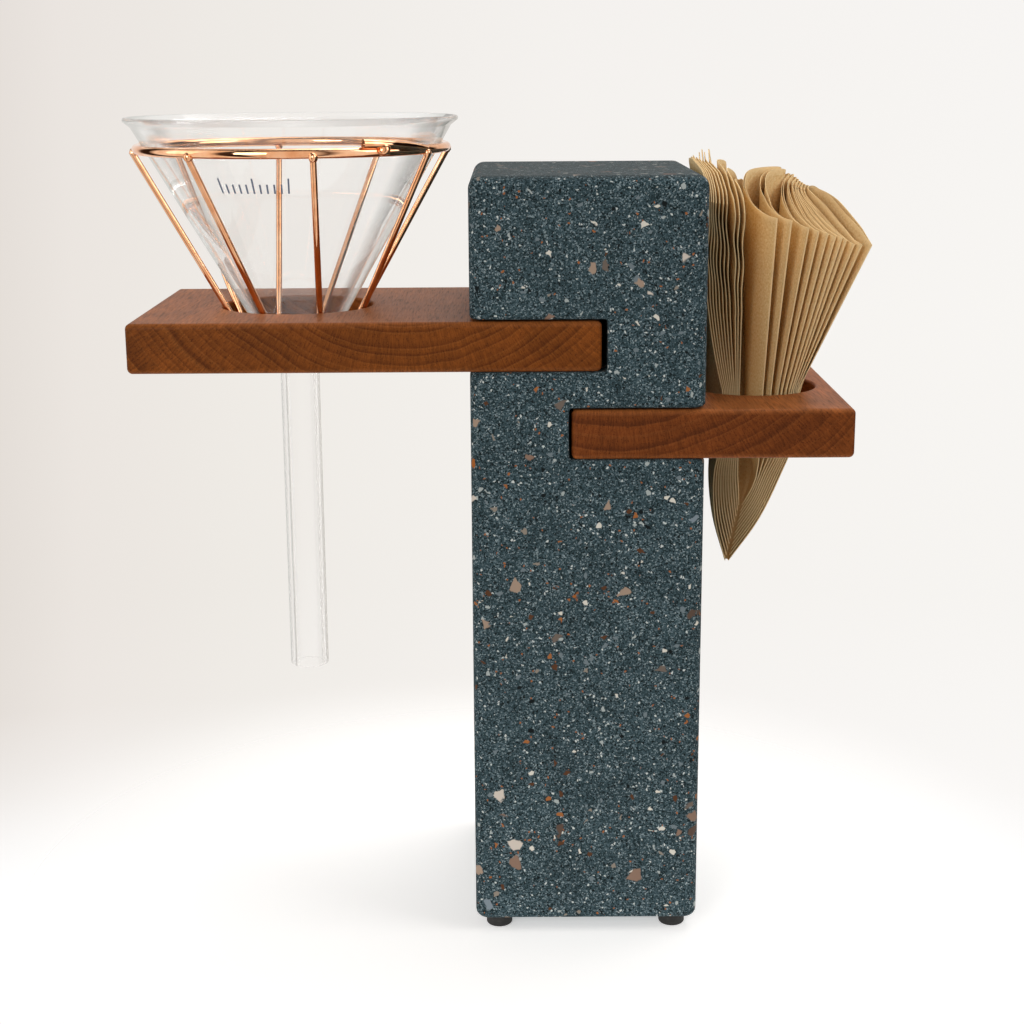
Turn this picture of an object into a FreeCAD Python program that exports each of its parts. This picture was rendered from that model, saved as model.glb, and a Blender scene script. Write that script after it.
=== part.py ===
import FreeCAD, Part
import math
import os

# Pour-over coffee stand. A cast terrazzo column has two slots, one open to each side. A walnut arm is
# pushed into each slot. The left arm carries a copper wire cage with a long-stem glass funnel in it. The
# right arm holds a stack of cone filters, bent into a U and tucked into its hole, points down.
#
# Frame: +X to the right, +Y to the back, +Z up, millimetres. The origin is on the table, under the middle
# of the whole stand's box. The parts are built about the column's centre line, then moved there together.

Vec = FreeCAD.Vector
UP = Vec(0, 0, 1)

# ---- Driving dimensions -------------------------------------------------------------------------------

# Column
column_width = 68.0
column_depth = 87.0
column_height = 226.0
column_edge_radius = 4.0
column_top_radius = 3.6
column_base_radius = 2.6

# Slots in the column, open at one side and through from front to back
slot_depth = 39.5
slot_corner_radius = 1.0
slot_edge_radius = 1.3
slot_headroom = 0.5
dripper_slot_floor = 170.7
filter_slot_floor = 145.0

# Rubber feet
foot_diameter = 8.0
foot_height = 4.0
foot_inset = 7.2
foot_edge_radius = 0.8

# Walnut arms
arm_thickness = 14.5
arm_edge_radius = 1.6
arm_hole_edge_radius = 0.8
dripper_overhang = 98.2
dripper_end_gap = 1.7
dripper_hole_diameter = 46.0
dripper_hole_from_tip = 44.6
filter_overhang = 43.2
filter_end_gap = 0.8
filter_hole_diameter = 40.0
filter_hole_from_tip = 25.2

# Glass funnel
cone_half_angle = math.radians(30.0)
rim_diameter = 100.0
rim_height = 2.6
rim_flare = 2.2
glass_wall = 1.8
rim_edge_radius = 0.75
stem_diameter = 12.0
stem_bore = 9.4
stem_length = 97.0
stem_end_radius = 0.7
stem_blend_radius = 5.0

# Copper wire cage
ring_rod = 2.9
ring_below_mouth = 6.27
lap_rod = 2.6
lap_climb = 2.4
lap_start = 64.0
lap_end = 31.0
lap_margin = 33.0
lap_hump = 0.62
spoke_wire = 1.9
spoke_azimuths = (13.5, 62.0, 102.0, 150.0, 192.0, 238.0, 281.0, 328.5)
spoke_twist = 16.0
spoke_bead_diameter = 3.4
weld_bead_diameter = 3.6
weld_azimuth = 39.0
weld_rise = 0.7
foot_ring_rod = 2.4
foot_ring_depth = 9.5

# Paper filters
filter_count = 11
filter_paper = 0.25
filter_drop = 42.0
filter_step = 1.8
stacked_share = 0.86
filter_slant = 125.0
filter_lean = 24.0
filter_recline = 32.0
filter_belly_rise = 14.0
filter_belly_rise_inner = 7.0
filter_fan_rise = 72.0
filter_left_spread = 11.4
bend_squareness = 0.8
bend_steps = 8
# Left, right, front and back of the U from the hole's centre, as shares of the hole's radius, for the
# outermost filter and for the innermost. From below: the tip, the belly, the arm's underside, its top, and
# the open fan, whose left side is set by the column.
filter_bend_shares = (
    ((-0.325, -0.275, -0.05, 0.05), (-0.13, -0.08, -0.05, 0.05)),
    ((-0.50, 0.40, -0.30, 0.45), (-0.15, 0.18, -0.30, 0.30)),
    ((-0.45, 0.67, -0.45, 0.92), (-0.15, 0.20, -0.45, 0.58)),
    ((-0.45, 0.75, -0.50, 0.94), (-0.15, 0.20, -0.50, 0.60)),
    ((None, 2.15, -1.20, 2.30), (None, 0.22, -1.20, 1.40)),
)

# Clearances
curved_gap = 0.3
cage_seat_gap = 0.4
cone_hole_gap = 6.2
filter_column_gap = 1.6
braze_sink = 0.55

# Coordinates this close are the same
same = 1e-4

# ---- Derived sizes ------------------------------------------------------------------------------------

column_side = column_width / 2
arm_depth = column_depth
slot_height = arm_thickness + slot_headroom
dripper_arm_bottom = foot_height + dripper_slot_floor
dripper_arm_top = dripper_arm_bottom + arm_thickness
filter_arm_bottom = foot_height + filter_slot_floor
filter_arm_top = filter_arm_bottom + arm_thickness
dripper_x = -column_side - dripper_overhang + dripper_hole_from_tip
filter_x = column_side + filter_overhang - filter_hole_from_tip

cone_slope = math.tan(cone_half_angle)
mouth_radius = rim_diameter / 2 - rim_flare
cone_radius_at_arm = dripper_hole_diameter / 2 - cone_hole_gap
cone_radius_at_ring = mouth_radius - ring_below_mouth * cone_slope
# The ring's rod stands curved_gap off the cone, measured square to the glass.
ring_radius = cone_radius_at_ring + (ring_rod / 2 + curved_gap) / math.cos(cone_half_angle)
ring_z = dripper_arm_top + (cone_radius_at_ring - cone_radius_at_arm) / cone_slope
mouth_z = ring_z + ring_below_mouth
rim_z = mouth_z + rim_height
neck_z = mouth_z - (mouth_radius - stem_diameter / 2) / cone_slope
stem_end_z = neck_z - stem_length


# ---- Helpers ------------------------------------------------------------------------------------------

def around(radius, azimuth, z, centre_x=0.0):
    """A point at an azimuth in degrees: 0 is the front, and it grows towards the right."""
    angle = math.radians(azimuth)
    return Vec(centre_x + radius * math.sin(angle), -radius * math.cos(angle), z)


def rod_between(start, end, diameter):
    return Part.makeCylinder(diameter / 2, (end - start).Length, start, end - start)


def rounded(shape, radius, wanted):
    """Fillet the edges that wanted() picks."""
    return shape.makeFillet(radius, [edge for edge in shape.Edges if wanted(edge)])


def lies_at(edge, **place):
    """True if the edge's whole box is at the given coordinates, such as z=0."""
    box = edge.BoundBox
    spans = {"x": (box.XMin, box.XMax), "y": (box.YMin, box.YMax), "z": (box.ZMin, box.ZMax)}
    return all(abs(low - value) < same and abs(high - value) < same
               for axis, value in place.items() for low, high in [spans[axis]])


def is_upright(edge):
    box = edge.BoundBox
    return box.XLength < same and box.YLength < same


# ---- Column and feet ----------------------------------------------------------------------------------

def slot_cutter(side, floor_z):
    """A slot with rounded inner corners, open at the column's left (side -1) or right (side 1)."""
    mouth = column_side + slot_corner_radius + slot_edge_radius
    inner = column_side - slot_depth
    cutter = Part.makeBox(mouth - inner, 2 * column_depth, slot_height,
                          Vec(inner, -column_depth, floor_z))
    cutter = rounded(cutter, slot_corner_radius,
                     lambda edge: lies_at(edge, x=inner) and edge.BoundBox.YLength > column_depth)
    if side < 0:
        cutter = cutter.mirror(Vec(0, 0, 0), Vec(1, 0, 0))
    return cutter


def slot_edges(block, side, floor_z):
    """The edges where a slot meets the column's front, back and side faces."""
    low, high = floor_z, floor_z + slot_height
    picked = []
    for edge in block.Edges:
        box = edge.BoundBox
        in_slot = box.ZMin > low - same and box.ZMax < high + same
        on_front_or_back = box.YLength < same and abs(abs(box.YMin) - column_depth / 2) < same
        at_lip = min(side * box.XMin, side * box.XMax) > column_side - column_edge_radius - same
        if in_slot and (on_front_or_back or at_lip):
            picked.append(edge)
    return picked


def build_column():
    block = Part.makeBox(column_width, column_depth, column_height,
                         Vec(-column_side, -column_depth / 2, foot_height))
    block = rounded(block, column_edge_radius, is_upright)
    block = rounded(block, column_top_radius, lambda edge: lies_at(edge, z=foot_height + column_height))
    block = rounded(block, column_base_radius, lambda edge: lies_at(edge, z=foot_height))
    for side, floor_z in ((-1, dripper_arm_bottom), (1, filter_arm_bottom)):
        block = block.cut(slot_cutter(side, floor_z))
        block = block.makeFillet(slot_edge_radius, slot_edges(block, side, floor_z))
    return block


def build_foot(side_x, side_y):
    centre = Vec(side_x * (column_side - foot_inset), side_y * (column_depth / 2 - foot_inset), 0)
    foot = Part.makeCylinder(foot_diameter / 2, foot_height, centre, UP)
    return rounded(foot, foot_edge_radius, lambda edge: lies_at(edge, z=0))


# ---- Arms ---------------------------------------------------------------------------------------------

def build_arm(side, overhang, end_gap, bottom_z, hole_x, hole_diameter):
    """A board from its tip to just short of the slot's end, with a round hole through it."""
    tip = column_side + overhang
    inner = column_side - slot_depth + end_gap
    arm = Part.makeBox(tip - inner, arm_depth, arm_thickness, Vec(inner, -arm_depth / 2, bottom_z))
    if side < 0:
        arm = arm.mirror(Vec(0, 0, 0), Vec(1, 0, 0))
    arm = arm.makeFillet(arm_edge_radius, arm.Edges)
    arm = arm.cut(Part.makeCylinder(hole_diameter / 2, arm_thickness, Vec(hole_x, 0, bottom_z), UP))
    return rounded(arm, arm_hole_edge_radius,
                   lambda edge: edge.BoundBox.ZLength < same
                   and abs(edge.Length - math.pi * hole_diameter) < same)


# ---- Glass funnel -------------------------------------------------------------------------------------

def build_funnel():
    """The wall's section, turned about the funnel's axis."""
    wall_across = glass_wall / math.cos(cone_half_angle)
    rim_radius = rim_diameter / 2
    stem_radius = stem_diameter / 2
    bore_radius = stem_bore / 2
    inner_neck_z = neck_z + (bore_radius + wall_across - stem_radius) / cone_slope
    section = [
        (bore_radius, stem_end_z),
        (stem_radius, stem_end_z),
        (stem_radius, neck_z),
        (mouth_radius, mouth_z),
        (rim_radius, rim_z - glass_wall / 2),
        (rim_radius, rim_z + glass_wall / 2),
        (mouth_radius - wall_across, mouth_z + glass_wall / 2),
        (bore_radius, inner_neck_z),
    ]
    points = [Vec(dripper_x + radius, 0, z) for radius, z in section]
    face = Part.Face(Part.makePolygon(points + points[:1]))
    funnel = face.revolve(Vec(dripper_x, 0, 0), UP, 360)
    funnel = rounded(funnel, rim_edge_radius, lambda edge: edge.BoundBox.XLength > rim_diameter - same)
    funnel = rounded(funnel, stem_end_radius,
                     lambda edge: lies_at(edge, z=stem_end_z) and edge.BoundBox.XLength > stem_bore + same)
    return rounded(funnel, stem_blend_radius, lambda edge: lies_at(edge, z=neck_z))


# ---- Wire cage ----------------------------------------------------------------------------------------

def spoke_line():
    """Radius and height of a spoke's axis at the ring and at the foot ring."""
    # The spoke runs outside the ring's lower half and stands cage_seat_gap off the hole's rounded edge.
    top_radius = ring_radius + ring_rod / 2 - braze_sink
    top_z = ring_z - ring_rod / 2
    seat_radius = dripper_hole_diameter / 2 - spoke_wire / 2 - cage_seat_gap
    seat_z = dripper_arm_top - arm_hole_edge_radius
    slope = (top_radius - seat_radius) / (top_z - seat_z)
    low_z = dripper_arm_top - foot_ring_depth
    return top_radius, top_z, seat_radius - slope * (seat_z - low_z), low_z


def ring_arc(start_azimuth, sweep):
    """A stretch of the ring's rod, from one azimuth on towards the right."""
    centre = around(ring_radius, start_azimuth, ring_z, dripper_x)
    angle = math.radians(start_azimuth)
    heading = Vec(math.cos(angle), math.sin(angle), 0)
    section = Part.Face(Part.Wire([Part.makeCircle(ring_rod / 2, centre, heading)]))
    return section.revolve(Vec(dripper_x, 0, 0), UP, sweep)


def build_ring():
    """A rod bent to a circle, its end climbing over its start."""
    def climbed(share, height_share):
        # The climb follows the glass, so the lap stays as far from it as the ring.
        height = lap_climb * height_share
        azimuth = lap_start + (lap_end - lap_start) * share
        return around(ring_radius + height * cone_slope, azimuth, ring_z + height, dripper_x)

    start, middle, end = climbed(0, 0), climbed(0.5, lap_hump), climbed(1, 1)
    path = Part.Wire([Part.Arc(start, middle, end).toShape()])
    heading = path.Edges[0].tangentAt(path.Edges[0].FirstParameter)
    section = Part.Wire([Part.makeCircle(lap_rod / 2, start, heading)])
    lap = path.makePipeShell([section], True, False)
    near_sweep = lap_start - lap_end + 2 * lap_margin
    near = ring_arc(lap_end - lap_margin, near_sweep).fuse(lap)
    return near.fuse(ring_arc(lap_start + lap_margin, 360 - near_sweep))


def build_foot_ring():
    _, _, low_radius, low_z = spoke_line()
    radius = low_radius - (spoke_wire + foot_ring_rod) / 2 + braze_sink
    return Part.makeTorus(radius, foot_ring_rod / 2, Vec(dripper_x, 0, low_z), UP)


def build_spoke(azimuth, ring, foot_ring):
    top_radius, top_z, low_radius, low_z = spoke_line()
    top = around(top_radius, azimuth, top_z, dripper_x)
    low = around(low_radius, azimuth + spoke_twist, low_z, dripper_x)
    reach = (top - low).normalize() * spoke_wire
    return rod_between(low - reach / 2, top + reach / 2, spoke_wire).cut(ring).cut(foot_ring)


def build_bead(centre, diameter, neighbours):
    """A drop of braze around a joint, cut to what it wets."""
    bead = Part.makeSphere(diameter / 2, centre)
    for neighbour in neighbours:
        bead = bead.cut(neighbour)
    return max(bead.Solids, key=lambda solid: solid.Volume)


# ---- Paper filters ------------------------------------------------------------------------------------

def bend_section(z, left, right, front, back):
    """A closed U of paper in a level plane, open to the front: two parallel curves and two ends."""
    middle_x, half = (left + right) / 2, (right - left) / 2
    inner, outer = [], []
    for step in range(bend_steps + 1):
        turn = math.pi * step / bend_steps
        across, along = math.cos(turn), math.sin(turn)
        x = -math.copysign(abs(across) ** bend_squareness, across)
        y = abs(along) ** bend_squareness
        normal = Vec(x / half, y / (back - front), 0).normalize() * (filter_paper / 2)
        point = Vec(middle_x + half * x, front + (back - front) * y, z)
        inner.append(point - normal)
        outer.append(point + normal)
    curves = []
    for points in (inner, outer):
        curve = Part.BSplineCurve()
        curve.interpolate(points)
        curves.append(curve.toShape())
    ends = [Part.makeLine(inner[0], outer[0]), Part.makeLine(inner[-1], outer[-1])]
    return Part.Wire(Part.__sortEdges__([curves[0], ends[1], curves[1], ends[0]]))


def nesting_share(layer):
    """How far in a filter lies, from 0 for the outermost. The innermost stands a little off the stack."""
    if layer == filter_count - 1:
        return 1.0
    return stacked_share * layer / (filter_count - 2)


def nested(outermost, innermost, share):
    """A filter's distance from the hole's centre, between the outermost's and the innermost's."""
    return filter_hole_diameter / 2 * (outermost + share * (innermost - outermost))


def build_filter(layer):
    """One cone filter, bent into a U. Layer 0 is the outermost and hangs lowest."""
    share = nesting_share(layer)
    lowest_tip_z = filter_arm_bottom - filter_drop
    tip_z = lowest_tip_z + layer * filter_step
    belly_z = tip_z + filter_belly_rise + share * (filter_belly_rise_inner - filter_belly_rise)
    heights = (tip_z, belly_z, filter_arm_bottom, filter_arm_top, filter_arm_top + filter_fan_rise)
    sections = []
    for z, (outermost, innermost) in zip(heights, filter_bend_shares):
        if outermost[0] is None:
            left = column_side + filter_column_gap + share * filter_left_spread
        else:
            left = filter_x + nested(outermost[0], innermost[0], share)
        right = filter_x + nested(outermost[1], innermost[1], share)
        front = nested(outermost[2], innermost[2], share)
        back = nested(outermost[3], innermost[3], share)
        sections.append(bend_section(z, left, right, front, back))
    sheet = Part.makeLoft(sections, True, True)
    trim_centre = Vec(filter_x - filter_lean, filter_recline, lowest_tip_z)
    sheet = sheet.common(Part.makeSphere(filter_slant, trim_centre))
    return max(sheet.Solids, key=lambda solid: solid.Volume)


# ---- Whole stand --------------------------------------------------------------------------------------

def build_cage():
    ring = build_ring()
    foot_ring = build_foot_ring()
    spokes = {}
    beads = []
    top_radius, top_z, _, _ = spoke_line()
    for number, azimuth in enumerate(spoke_azimuths, start=1):
        spoke = build_spoke(azimuth, ring, foot_ring)
        spokes[f"cage_spoke_{number}"] = spoke
        joint = around(top_radius, azimuth, top_z, dripper_x)
        beads.append(build_bead(joint, spoke_bead_diameter, [ring, spoke]))
    weld_centre = around(ring_radius + ring_rod / 2, weld_azimuth, ring_z + weld_rise, dripper_x)
    weld = build_bead(weld_centre, weld_bead_diameter, [ring])
    return {"cage_top_ring": ring, "cage_foot_ring": foot_ring, **spokes,
            "cage_spoke_beads": Part.makeCompound(beads), "cage_ring_weld": weld}


def build_stand():
    nodes = {"column_block": build_column()}
    for place_y, side_y in (("front", -1), ("back", 1)):
        for place_x, side_x in (("left", -1), ("right", 1)):
            nodes[f"foot_{place_y}_{place_x}"] = build_foot(side_x, side_y)
    nodes["dripper_arm"] = build_arm(-1, dripper_overhang, dripper_end_gap, dripper_arm_bottom,
                                     dripper_x, dripper_hole_diameter)
    nodes["filter_arm"] = build_arm(1, filter_overhang, filter_end_gap, filter_arm_bottom,
                                    filter_x, filter_hole_diameter)
    nodes["glass_funnel"] = build_funnel()
    nodes.update(build_cage())
    for layer in range(filter_count):
        nodes[f"paper_filter_{layer + 1:02d}"] = build_filter(layer)
    return nodes


def main():
    os.makedirs("parts", exist_ok=True)
    nodes = build_stand()
    box = Part.makeCompound(list(nodes.values())).optimalBoundingBox()
    to_middle = Vec(-(box.XMin + box.XMax) / 2, 0, 0)
    print(f"column centre x {to_middle.x:.3f}, box {box.XLength:.2f} x {box.YLength:.2f} x {box.ZMax:.2f}")
    for name, shape in nodes.items():
        shape.translate(to_middle)
        shape.exportStep(f"parts/{name}.step")


main()
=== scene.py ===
# %% [markdown]
# # Pour-over coffee stand
# A cast terrazzo column holds two walnut arms. The left arm carries a long glass
# funnel in a copper wire cage, and the right arm holds a stack of cone paper filters.
# The CAD model is loaded first and is never moved: it gives the place of everything.
# What this lesson adds is the finish of each piece, the bent paper cones, the tick
# marks on the glass, the table, the light and the camera.

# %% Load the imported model
import math

import bmesh
import bpy
from mathutils import Matrix, Vector
from mathutils.bvhtree import BVHTree


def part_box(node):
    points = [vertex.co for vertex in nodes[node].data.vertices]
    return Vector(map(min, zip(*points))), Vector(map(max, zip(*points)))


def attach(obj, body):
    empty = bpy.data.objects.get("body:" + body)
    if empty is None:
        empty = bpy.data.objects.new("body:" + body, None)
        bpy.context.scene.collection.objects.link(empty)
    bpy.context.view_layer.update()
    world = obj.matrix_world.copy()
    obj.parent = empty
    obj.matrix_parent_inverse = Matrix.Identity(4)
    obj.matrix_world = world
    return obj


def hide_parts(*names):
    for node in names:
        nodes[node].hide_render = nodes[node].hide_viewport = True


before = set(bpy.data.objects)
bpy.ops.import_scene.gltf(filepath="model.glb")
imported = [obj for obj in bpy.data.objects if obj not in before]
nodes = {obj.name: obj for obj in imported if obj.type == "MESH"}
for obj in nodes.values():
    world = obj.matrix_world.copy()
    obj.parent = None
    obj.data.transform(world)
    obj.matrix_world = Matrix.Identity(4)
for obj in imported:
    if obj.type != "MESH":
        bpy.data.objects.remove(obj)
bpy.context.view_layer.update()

MM = 0.001

# %% [markdown]
# ## Camera
# The stand is seen from the front at about twice the height of its arms, with a
# slightly long lens, so that its upright lines stay nearly parallel. The camera's
# place, tilt and roll were worked out from the corners of the column and the arms.
# A matrix built from three directions sets all of them at once, without guessing
# at Euler angles.

# %% Camera
def put(name, data):
    """Makes an object of the given data and links it into the scene."""
    thing = bpy.data.objects.new(name, data)
    bpy.context.scene.collection.objects.link(thing)
    return thing


camera_place = Vector((3.807, -555.03, 258.99)) * MM
camera_tilt = 0.2403
camera_roll = 0.0062

look = Vector((0.0, math.cos(camera_tilt), -math.sin(camera_tilt)))
level_right = Vector((1.0, 0.0, 0.0))
level_down = look.cross(level_right)
camera_right = math.cos(camera_roll) * level_right + math.sin(camera_roll) * level_down
camera_up = math.sin(camera_roll) * level_right - math.cos(camera_roll) * level_down

camera_data = bpy.data.cameras.new("camera")
camera_data.sensor_width = 36.0
camera_data.lens = 63.53
camera_data.clip_start = 0.01
camera_data.clip_end = 20.0
camera = put("camera", camera_data)
turn = Matrix((camera_right, camera_up, -look)).transposed()
camera.matrix_world = Matrix.Translation(camera_place) @ turn.to_4x4()
bpy.context.scene.camera = camera
print("camera looks", round(math.degrees(camera_tilt), 1), "degrees down")

# %% [markdown]
# ## Helpers for colours and nodes
# Colours are written as the hex codes that a paint chart would give. The shader
# works with linear light, so one function turns the codes into linear values.
# A second function fills or links the inputs of a node, and a third adds a node with
# its settings and its inputs, for materials, the world and Geometry Nodes alike.

# %% Colour and node helpers
def linear(code, alpha=1.0):
    """Turns an sRGB hex code such as '#A0522D' into a linear colour."""
    channels = []
    for start in (1, 3, 5):
        value = int(code[start:start + 2], 16) / 255.0
        if value <= 0.04045:
            channels.append(value / 12.92)
        else:
            channels.append(((value + 0.055) / 1.055) ** 2.4)
    return (*channels, alpha)


def fill(node, inputs):
    """Gives each input a value, or links it to a socket or to a node's first output."""
    for name, value in inputs.items():
        if isinstance(value, bpy.types.Node):
            value = value.outputs[0]
        if isinstance(value, bpy.types.NodeSocket):
            node.id_data.links.new(value, node.inputs[name])
        else:
            node.inputs[name].default_value = value


def add(tree, kind, inputs=None, **settings):
    """Adds a node. A shader node's kind is written without its leading ShaderNode.

    The setting stops gives a Color Ramp its colours, as (place, hex code).
    """
    if not kind.startswith(("GeometryNode", "FunctionNode", "NodeGroup")):
        kind = "ShaderNode" + kind
    node = tree.nodes.new(kind)
    for name, value in settings.items():
        if name == "stops":
            elements = node.color_ramp.elements
            elements.remove(elements[1])
            elements[0].position = value[0][0]
            elements[0].color = linear(value[0][1])
            for place, code in value[1:]:
                elements.new(place).color = linear(code)
        else:
            setattr(node, name, value)
    fill(node, inputs or {})
    return node


def new_material(name):
    """An empty material with an output and a Principled shader."""
    material = bpy.data.materials.new(name)
    material.use_nodes = True
    tree = material.node_tree
    tree.nodes.clear()
    shader = add(tree, "BsdfPrincipled")
    add(tree, "OutputMaterial", {"Surface": shader})
    return material, tree, shader


def dress(node_name, material):
    """Gives a CAD node a material in every one of its slots."""
    mesh = nodes[node_name].data
    mesh.materials.clear()
    mesh.materials.append(material)


print("a mid grey is", round(linear("#808080")[0], 3), "in linear light")

# %% [markdown]
# ## Table, backdrop and light
# The stand is on white paper under large, soft lamps. The table is a round sheet
# whose rim fades out, so that no horizon shows from any side. Lamps and world are
# kept at a plain level, where a colour renders about as it is written. Three kinds
# of rays see three rooms. The camera, and light that passes through glass, see a
# pale backdrop. Diffuse light comes from a soft, even room. Gloss sees a pale room
# with dark cards at its sides and a dark ceiling: bright metal only looks like metal
# when it has something dark to mirror.

# %% World
world = bpy.data.worlds.new("studio")
bpy.context.scene.world = world
world.use_nodes = True
tree = world.node_tree
tree.nodes.clear()
direction = add(tree, "TexCoord").outputs["Generated"]
split = add(tree, "SeparateXYZ", {0: direction})

height = add(tree, "MapRange", {"Value": split.outputs["Z"], "From Min": -0.42, "From Max": 0.06})
rise = add(tree, "ValToRGB", {0: height}, stops=[
    (0.0, "#FFFFFF"), (0.1, "#FAF8F6"), (0.3, "#F7F5F2"), (0.6, "#F8F6F3"), (1.0, "#F7F5F3")])
side = add(tree, "MapRange", {"Value": split.outputs["X"], "From Min": -0.3, "From Max": 0.3})
across = add(tree, "ValToRGB", {0: side}, stops=[
    (0.0, "#E6E1DD"), (0.11, "#F2EEEB"), (0.26, "#F6F4F1"), (0.55, "#FCFBFA"), (1.0, "#FFFFFF")])
shaded = add(tree, "MapRange", {"Value": split.outputs["Z"], "From Min": -0.41, "From Max": -0.33})
pale = add(tree, "Mix", {0: shaded, 6: rise, 7: across}, data_type="RGBA", blend_type="MULTIPLY")
backdrop = add(tree, "Background", {"Color": pale.outputs[2], "Strength": 1.0})

azimuth = add(tree, "Math", {0: split.outputs["X"], 1: split.outputs["Y"]}, operation="ARCTAN2")
all_round = add(tree, "MapRange", {"Value": azimuth, "From Min": -math.pi, "From Max": math.pi})
# The ramp runs once round the stand: from behind the camera past the left side to
# the backdrop at 0.5, then past the right side, where the widest dark card stands.
cards = add(tree, "ValToRGB", {0: all_round}, stops=[
    (0.0, "#F1E7DC"), (0.07, "#F1E7DC"), (0.09, "#2A1D15"), (0.13, "#3A2A20"), (0.15, "#FFF8EF"),
    (0.3, "#FFFFFF"), (0.32, "#2A1D15"), (0.36, "#3A2A20"), (0.38, "#F4F1EE"), (0.62, "#EDE7E1"),
    (0.64, "#0C0705"), (0.76, "#1C110B"), (0.79, "#F8EFE4"), (0.88, "#FFFFFF"), (0.91, "#5A4638"),
    (0.94, "#F1E7DC"), (1.0, "#F1E7DC")])
ceiling = add(tree, "MapRange", {
    "Value": split.outputs["Z"], "From Min": 0.8, "From Max": 0.9, "To Min": 1.0, "To Max": 0.1})
mirrored = add(tree, "Background", {"Color": cards, "Strength": ceiling})
room = add(tree, "Background", {"Color": linear("#F4F1EC"), "Strength": 0.35})

rays = add(tree, "LightPath")
looked_at = add(tree, "Math", {
    0: rays.outputs["Is Camera Ray"], 1: rays.outputs["Is Transmission Ray"]}, operation="MAXIMUM")
soft = add(tree, "MixShader", {0: rays.outputs["Is Glossy Ray"], 1: room, 2: mirrored})
both = add(tree, "MixShader", {0: looked_at, 1: soft, 2: backdrop})
add(tree, "OutputWorld", {"Surface": both})
print("world has", len(tree.nodes), "nodes")

# %% Table
table_radius = 0.9
fade_start = 0.05  # metres from the middle, where the sheet starts to fade out
fade_end = 0.21
glow_strength = 0.43  # what the sheet adds to the lamps' light, so that it shows white
bounce_share = 0.9  # the part of that glow that reaches the stand
rings = 8
sides = 64

table_points = [(0.0, 0.0, 0.0)]
table_faces = []
for ring in range(1, rings + 1):
    for step in range(sides):
        angle = 2 * math.pi * step / sides
        reach = table_radius * ring / rings
        table_points.append((reach * math.cos(angle), reach * math.sin(angle), 0.0))
for step in range(sides):
    after = (step + 1) % sides
    table_faces.append((0, 1 + step, 1 + after))
    for ring in range(rings - 1):
        inner = 1 + ring * sides
        outer = inner + sides
        table_faces.append((inner + step, outer + step, outer + after, inner + after))
table_mesh = bpy.data.meshes.new("table")
table_mesh.from_pydata(table_points, [], table_faces)
table = put("table", table_mesh)

paper_sweep, tree, shader = new_material("matt white background paper")
coords = add(tree, "TexCoord").outputs["Object"]
away = add(tree, "VectorMath", {0: coords}, operation="LENGTH")
# Painted falloff: from 0.22 m out the sheet is painted darker, as if less lamp light reached it. Only
# light that bounces off the sheet meets this, since the camera and gloss see it faded out.
sheet = add(tree, "ValToRGB", {0: away.outputs["Value"]}, stops=[
    (0.0, "#F8F6F4"), (0.22, "#F8F6F4"), (0.5, "#6E6964")])
fill(shader, {"Base Color": sheet, "Roughness": 0.9, "Specular IOR Level": 0.2})
fade = add(tree, "MapRange", {"Value": away.outputs["Value"], "From Min": fade_start,
                              "From Max": fade_end}, interpolation_type="SMOOTHSTEP")
rays = add(tree, "LightPath")
seen = add(tree, "Math", {
    0: rays.outputs["Is Camera Ray"], 1: rays.outputs["Is Transmission Ray"]}, operation="MAXIMUM")
seen = add(tree, "Math", {0: seen, 1: rays.outputs["Is Glossy Ray"]}, operation="MAXIMUM")
# Near the stand the sheet also throws a part of its glow back up at what stands on it.
near = add(tree, "Math", {0: 1.0, 1: fade}, operation="SUBTRACT")
bounce = add(tree, "Math", {0: near, 1: bounce_share}, operation="MULTIPLY")
level = add(tree, "Math", {0: seen, 1: bounce}, operation="MAXIMUM")
glow_seen = add(tree, "Math", {0: level, 1: glow_strength}, operation="MULTIPLY")
glow = add(tree, "Emission", {"Color": linear("#FFFFFF"), "Strength": glow_seen})
lit = add(tree, "AddShader", {0: shader, 1: glow})
clear = add(tree, "BsdfTransparent")
gone = add(tree, "Math", {0: fade, 1: seen}, operation="MULTIPLY")
faded = add(tree, "MixShader", {0: gone, 1: lit, 2: clear})
fill(tree.nodes["Material Output"], {"Surface": faded})
table_mesh.materials.append(paper_sweep)
print("table sheet is", round(2 * table_radius, 2), "m across")

# %% Lamps
lamps = [
    # name, place (m), size (m), watts: each lamp looks at the middle of the stand
    ("overhead softbox", (0.25, 0.35, 1.15), (0.9, 0.7), 6.0),
    ("right window", (1.1, -0.35, 0.75), (0.7, 0.9), 5.0),
    ("front window", (-0.53, -1.12, 0.5), (0.5, 0.6), 5.7),
    ("left reflector", (-1.1, -0.2, 0.45), (0.5, 0.9), 1.5),
]
middle = Vector((0.0, 0.0, 0.12))
for name, place, size, watts in lamps:
    lamp_data = bpy.data.lights.new(name, "AREA")
    lamp_data.shape = "RECTANGLE"
    lamp_data.size = size[0]
    lamp_data.size_y = size[1]
    lamp_data.energy = watts
    lamp = put(name, lamp_data)
    aim = (middle - Vector(place)).to_track_quat("-Z", "Y")
    lamp.matrix_world = Matrix.Translation(place) @ aim.to_matrix().to_4x4()
    print(name, "gives", watts, "W")
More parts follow.
